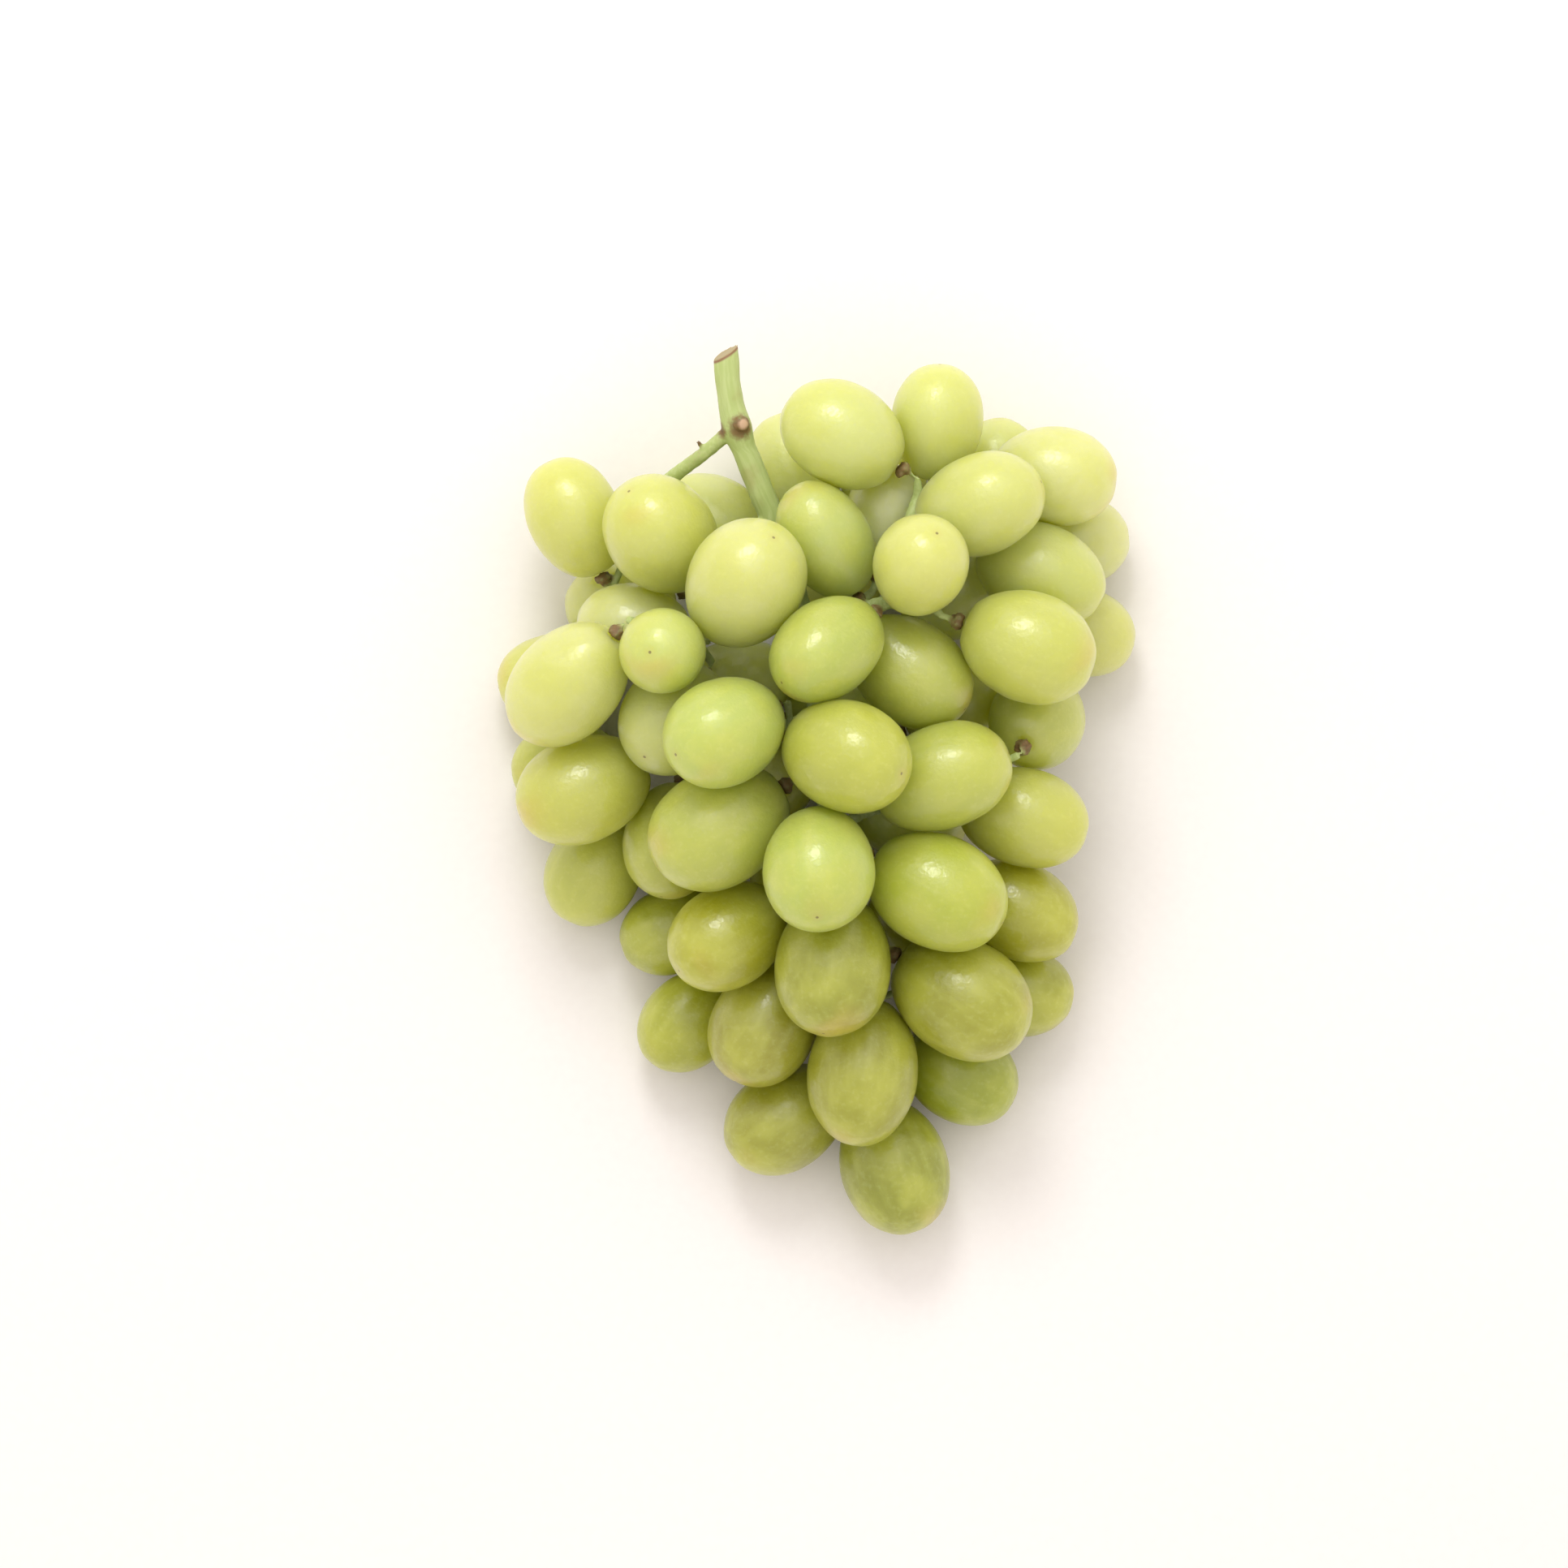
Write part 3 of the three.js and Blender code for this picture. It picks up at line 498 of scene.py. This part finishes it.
def grape_skin():
    """Ripe green grape: a thin, tough skin with a trace of wax over clear, pale flesh. Light goes deep into
    the flesh, blue light least, and comes out yellow-green. The wax spreads the highlight, and the flower
    scar is a brown dot. The skin's own grain is finer than 0.2 mm, and is drawn coarser so that it shows in
    the highlight."""
    material, tree, place = start_material("ripe_green_grape_skin")
    yellow, dull_and_painted_shade, bloom_and_painted_light, share, from_end = (
        add(tree, "Attribute", out="Fac", attribute_name=name)
        for name in ("yellow", "dull_and_painted_shade", "bloom_and_painted_light", "share", "from_end")
    )
    clouds = add(tree, "TexNoise", {"Vector": place, "Scale": 1 / (9 * MM), "Detail": 3.0})
    veins = add(tree, "Attribute", out="Vector", attribute_name="veins")
    strands = add(tree, "TexNoise", {"Vector": veins, "Scale": 1 / (2.6 * MM), "Detail": 3.0})
    specks = add(tree, "TexNoise", {"Vector": place, "Scale": 1 / (1.1 * MM), "Detail": 2.0})
    sunny = add(tree, "TexNoise", {"Vector": place, "Scale": 1 / (14 * MM), "Detail": 1.0})
    pale = add(tree, "MapRange", {"Value": clouds, LOW: 0.35, HIGH: 0.7, MOST: 0.45}, **SMOOTH)
    veined = add(tree, "MapRange", {"Value": strands, LOW: 0.4, HIGH: 0.8, MOST: 0.22}, **SMOOTH)
    speckled = add(tree, "MapRange", {"Value": specks, LOW: 0.5, HIGH: 0.75, MOST: 0.1}, **SMOOTH)
    sunburnt = add(tree, "MapRange", {"Value": sunny, LOW: 0.5, HIGH: 0.7, MOST: 0.35}, **SMOOTH)
    blush = add(tree, "MapRange", {"Value": share, LOW: 0.78, HIGH: 1.0, MOST: sunburnt}, **SMOOTH)
    halo = add(tree, "MapRange", {"Value": from_end, LOW: 1.6, HIGH: 0.5, MOST: 0.2}, **SMOOTH)
    scar = add(tree, "MapRange", {"Value": from_end, LOW: 0.4, HIGH: 0.2, MOST: 0.75}, **SMOOTH)
    layers = [
        (yellow, "#b1b128"),
        # olive colour of the lower clusters: partly their own duller tone, partly painted shade
        (dull_and_painted_shade, "#7f7f14"),
        # pale colour of the upper clusters: partly wax, partly painted light
        (bloom_and_painted_light, "#d3d9a2"),
        (pale, "#bac057"),
        (veined, "#c8cd70"),
        (speckled, "#d5db98"),
        (blush, "#bf9d45"),
        (halo, "#b9a860"),
        (scar, "#5f4c1e"),
    ]
    wax = add(tree, "TexNoise", {"Vector": place, "Scale": 1 / (4 * MM), "Detail": 3.0})
    roughness = add(tree, "MapRange", {"Value": wax, LEAST: 0.34, MOST: 0.5})
    grain = add(tree, "TexNoise", {"Vector": place, "Scale": 1 / (1.3 * MM), "Detail": 3.0})
    dents = add(tree, "Bump", {"Height": grain, "Strength": 0.4, "Distance": 0.35 * MM})
    skin = add(
        tree,
        "BsdfPrincipled",
        {
            "Base Color": layered(tree, "#99ad22", layers),
            "Roughness": roughness,
            "Normal": dents,
            "IOR": 1.5,
            "Specular IOR Level": 0.7,
            "Subsurface Weight": 1.0,
            "Subsurface Radius": (1.0, 0.95, 0.2),
            "Subsurface Scale": 30 * MM,
            "Coat Weight": 0.6,
            "Coat Roughness": 0.2,
            "Coat Normal": dents,
        },
        subsurface_method="RANDOM_WALK",
    )
    add(tree, "OutputMaterial", {"Surface": skin})
    return material


def stem_bark():
    """Green grape stem: soft pale bark with fine lengthwise streaks, which dries brown and rough at the
    collars, heals to a pinkish tan scar, and shows muted tan wood in a brown rim where it was cut."""
    material, tree, place = start_material("green_grape_stem_bark")
    along_stalk = add(tree, "Attribute", out="Vector", attribute_name="lengthwise")
    brown, cut, scar = (
        add(tree, "Attribute", out="Fac", attribute_name=name) for name in ("brown", "cut", "scar")
    )
    streaks = add(tree, "TexNoise", {"Vector": along_stalk, "Scale": 1 / (0.8 * MM), "Detail": 3.0})
    clouds = add(tree, "TexNoise", {"Vector": place, "Scale": 1 / (7 * MM), "Detail": 3.0})
    dry = add(tree, "TexNoise", {"Vector": place, "Scale": 1 / (0.8 * MM), "Detail": 3.0})
    striped = add(tree, "MapRange", {"Value": streaks, LOW: 0.4, HIGH: 0.65, MOST: 0.5}, **SMOOTH)
    weathered = add(tree, "MapRange", {"Value": clouds, LOW: 0.55, HIGH: 0.72, MOST: 0.35}, **SMOOTH)
    ragged = add(tree, "Math", {FIRST: dry, TIMES: 0.35, PLUS: brown}, operation="MULTIPLY_ADD")
    dried = add(tree, "MapRange", {"Value": ragged, LOW: 0.5, HIGH: 0.85}, **SMOOTH)
    rim = add(tree, "MapRange", {"Value": cut, LOW: 0.15, HIGH: 0.6}, **SMOOTH)
    wood = add(tree, "MapRange", {"Value": cut, LOW: 0.75, HIGH: 0.95}, **SMOOTH)
    healed = add(tree, "MapRange", {"Value": scar, LOW: 0.55, HIGH: 0.8}, **SMOOTH)
    browns = {FACTOR: dry, UNDER: "#4d381f", OVER: "#9a7c50"}
    bark_brown = add(tree, "Mix", browns, out=MIXED, data_type="RGBA")
    layers = [
        (striped, "#c6d294"),
        (weathered, "#a39555"),
        (dried, bark_brown),
        (healed, "#c9a98a"),
        (rim, "#8c6a4b"),
        (wood, "#a89a70"),
    ]
    grooves = add(tree, "Bump", {"Height": streaks, "Strength": 0.2, "Distance": 0.12 * MM})
    surface = add(
        tree,
        "BsdfPrincipled",
        {
            "Base Color": layered(tree, "#b1c178", layers),
            "Normal": grooves,
            "IOR": 1.45,
            "Roughness": 0.55,
            "Subsurface Weight": 0.2,
            "Subsurface Radius": (1.0, 0.9, 0.4),
            "Subsurface Scale": 1.0 * MM,
        },
        subsurface_method="RANDOM_WALK",
    )
    add(tree, "OutputMaterial", {"Surface": surface})
    return material


def table_paint():
    """Matt white laminate: pressed smooth, so that it is almost featureless, with a very faint grain, which
    is drawn coarser than the real one so that it shows."""
    material, tree, place = start_material("matt_white_laminate")
    grain = add(tree, "TexNoise", {"Vector": place, "Scale": 1 / (2 * MM), "Detail": 2.0})
    whites = {FACTOR: grain, UNDER: "#f4f1ef", OVER: "#f8f6f4"}
    white = add(tree, "Mix", whites, out=MIXED, data_type="RGBA")
    surface = add(tree, "BsdfPrincipled", {"Base Color": white, "Roughness": 0.8})
    add(tree, "OutputMaterial", {"Surface": surface})
    return material


# ---- the bunch ------------------------------------------------------------------------------


def make_berries(berries, material):
    """One fruit in the place of every CAD berry, each with its own yellowness, duller olive tone with
    painted shade, and pale wax with painted light.
    """
    faces = berry_faces(BERRY_ROWS, BERRY_COLUMNS)
    for number, berry in enumerate(berries):
        generator = np.random.default_rng([SEED, number])
        points, share, from_end, veins = berry_surface(berry, contact_planes(berry, berries), generator)
        cluster = berry["name"].rsplit("_", 1)[0]
        yellow = 0.0 if berry["name"] in GREENER else generator.uniform(*YELLOWNESS)
        # olive colour: partly a duller tone, partly painted shade on the lower clusters
        dull_and_painted_shade = DULL_AND_PAINTED_SHADE.get(cluster, 0.0) * generator.uniform(*DULL_AND_PAINTED_SHADE_SPREAD)
        # pale colour: partly wax, partly painted light on the upper clusters
        bloom_and_painted_light = BLOOM_AND_PAINTED_LIGHT.get(cluster, 0.0) * generator.uniform(*BLOOM_AND_PAINTED_LIGHT_SPREAD)
        if berry["name"] in BRIGHTER_BERRIES:
            dull_and_painted_shade, bloom_and_painted_light = 0.0, BRIGHTER_BERRIES[berry["name"]]
        values = {"share": share, "from_end": from_end}
        for look, amount in (("yellow", yellow), ("dull_and_painted_shade", dull_and_painted_shade), ("bloom_and_painted_light", bloom_and_painted_light)):
            values[look] = np.full(len(points), amount)
        piece = new_piece("grape_" + berry["name"], points, faces, material, values)
        add_places(piece, "veins", veins + generator.uniform(0, 1))
        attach(piece, "root")
        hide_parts(berry["name"])


berries = [read_berry(name) for name in sorted(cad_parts) if name != "stem"]
make_berries(berries, grape_skin())
stem = make_stem(berries, stem_bark())
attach(stem, "root")
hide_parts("stem")


# ---- table, light and camera ----------------------------------------------------------------


def make_table():
    """A flat square under the bunch."""
    half = TABLE_SIZE / 2
    corners = np.array([[-half, -half, 0], [half, -half, 0], [half, half, 0], [-half, half, 0]])
    corners[:, 2] = -TABLE_DROP
    new_piece("table", corners, [[0, 1, 2, 3]], table_paint(), {})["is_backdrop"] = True


def make_light(name, place, width, power):
    """A soft round white light that faces the bunch."""
    light = bpy.data.lights.new(name, "AREA")
    light.shape = "DISK"
    light.size = width
    light.energy = power
    holder = bpy.data.objects.new(name, light)
    bpy.context.scene.collection.objects.link(holder)
    holder.location = place
    aim = -np.array(place)
    holder.rotation_euler = (
        math.atan2(math.hypot(aim[0], aim[1]), -aim[2]),
        0,
        math.atan2(aim[1], aim[0]) - math.pi / 2,
    )


def make_camera():
    """Straight down, with the cut stalk at the top of the picture."""
    camera = bpy.data.cameras.new("camera")
    lowest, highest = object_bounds()
    middle = (lowest[2] + highest[2]) / 2
    camera.sensor_width = SENSOR
    camera.lens = SENSOR * (CAMERA_HEIGHT - middle) / FRAME_WIDTH
    camera.clip_start = 0.01
    holder = bpy.data.objects.new("camera", camera)
    bpy.context.scene.collection.objects.link(holder)
    holder.location = (*CAMERA_OVER, CAMERA_HEIGHT)
    bpy.context.scene.camera = holder


make_table()
for light in LIGHTS:
    make_light(*light)
make_camera()

world = bpy.data.worlds.new("room")
world.use_nodes = True
world.node_tree.nodes["Background"].inputs["Color"].default_value = linear(ROOM_COLOUR)
world.node_tree.nodes["Background"].inputs["Strength"].default_value = ROOM_LIGHT
bpy.context.scene.world = world
bpy.context.scene.view_settings.view_transform = "Standard"
